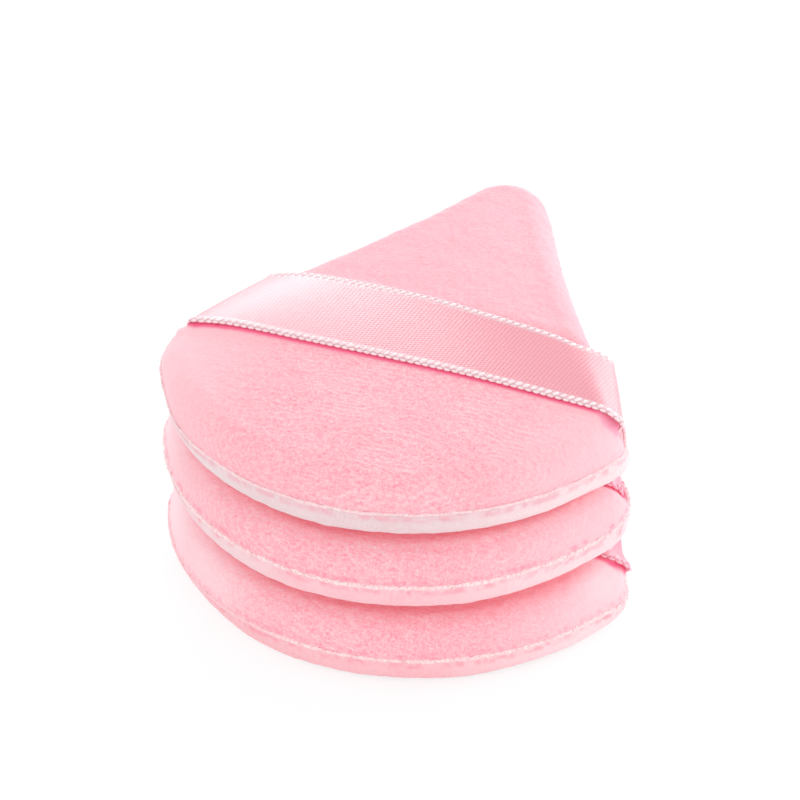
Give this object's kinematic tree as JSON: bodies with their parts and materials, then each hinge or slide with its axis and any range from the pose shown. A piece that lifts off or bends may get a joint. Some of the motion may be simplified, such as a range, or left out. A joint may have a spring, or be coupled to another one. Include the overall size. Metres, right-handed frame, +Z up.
{
  "type": "powder puff set",
  "caption": "Stacked teardrop velour powder puffs, each with a foam core, pale rim band, edge seam and satin finger strap, for pressing powder onto skin.",
  "frame": {"origin": "on the surface that the stack stands on, under the middle of its box", "axes": "+Z up through the stack, +Y towards the puffs' tips, +X across them, along the finger straps"},
  "size_m": [0.0717, 0.0804, 0.0378],
  "materials": {
    "velour": "short brushed pile, matt",
    "band_cloth": "pale knitted cloth with almost no pile",
    "seam_thread": "fuzzy white thread",
    "satin_ribbon": "satin weave with looped selvedges",
    "foam": "soft open-cell foam"
  },
  "bodies": {
    "bottom_puff": {"bottom_puff_face_cover": "velour", "bottom_puff_side_band": "band_cloth", "bottom_puff_back_cover": "velour", "bottom_puff_foam_core": "foam", "bottom_puff_seam_thread": "seam_thread", "bottom_puff_finger_strap": "satin_ribbon"},
    "middle_puff": {"middle_puff_face_cover": "velour", "middle_puff_side_band": "band_cloth", "middle_puff_back_cover": "velour", "middle_puff_foam_core": "foam", "middle_puff_seam_thread": "seam_thread", "middle_puff_finger_strap": "satin_ribbon"},
    "top_puff": {"top_puff_face_cover": "velour", "top_puff_side_band": "band_cloth", "top_puff_back_cover": "velour", "top_puff_foam_core": "foam", "top_puff_seam_thread": "seam_thread", "top_puff_finger_strap": "satin_ribbon"}
  },
  "joints": [
    {"name": "middle_lift", "type": "slide", "parent": "bottom_puff", "child": "middle_puff", "axis": [0, 0, 1], "range_m": [0, 0.04]},
    {"name": "top_lift", "type": "slide", "parent": "middle_puff", "child": "top_puff", "axis": [0, 0, 1], "range_m": [0, 0.04]}
  ]
}
